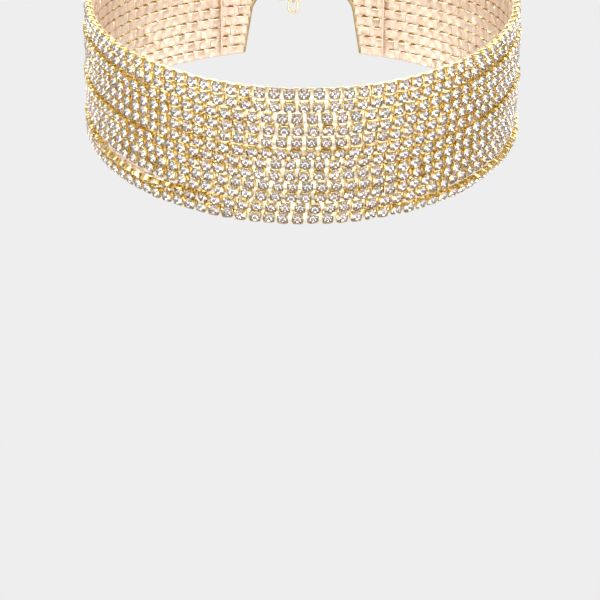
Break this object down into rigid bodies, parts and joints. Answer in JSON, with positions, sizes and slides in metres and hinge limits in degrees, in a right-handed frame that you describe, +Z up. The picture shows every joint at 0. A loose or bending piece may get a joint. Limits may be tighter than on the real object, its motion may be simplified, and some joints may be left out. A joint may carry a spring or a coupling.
{
  "type": "choker necklace",
  "caption": "Wide choker of stacked cup-chain strands of square-set stones between two end bars, closed at the back by an extender chain and a lobster clasp.",
  "frame": {"origin": "middle of the neck opening, on the widest line of the loop, at half the height of the band", "axes": "+Z up along the neck, -Y towards the front of the neck, +Y towards the clasp, +X to the right as seen from the front"},
  "size_m": [0.1097, 0.1145, 0.0337],
  "materials": {
    "cup_chain": "bright gold plate",
    "gold_plate": "bright gold plate",
    "crystal": "faceted and foiled behind"
  },
  "bodies": {
    "root": {"strand_01": "cup_chain", "strand_02": "cup_chain", "strand_03": "cup_chain", "strand_04": "cup_chain", "strand_05": "cup_chain", "strand_06": "cup_chain", "strand_07": "cup_chain", "strand_08": "cup_chain", "strand_09": "cup_chain", "strand_10": "cup_chain", "strand_11": "cup_chain", "strand_12": "cup_chain", "end_bar_left": "gold_plate", "end_bar_right": "gold_plate", "spacer_wire_left": "gold_plate", "spacer_wire_right": "gold_plate", "clasp_ring": "gold_plate", "lobster_clasp": "gold_plate", "extender_link_1": "gold_plate", "extender_link_2": "gold_plate", "extender_link_3": "gold_plate", "extender_link_4": "gold_plate", "extender_link_5": "gold_plate", "tail_link_1": "gold_plate", "tail_link_2": "gold_plate"}
  },
  "joints": []
}
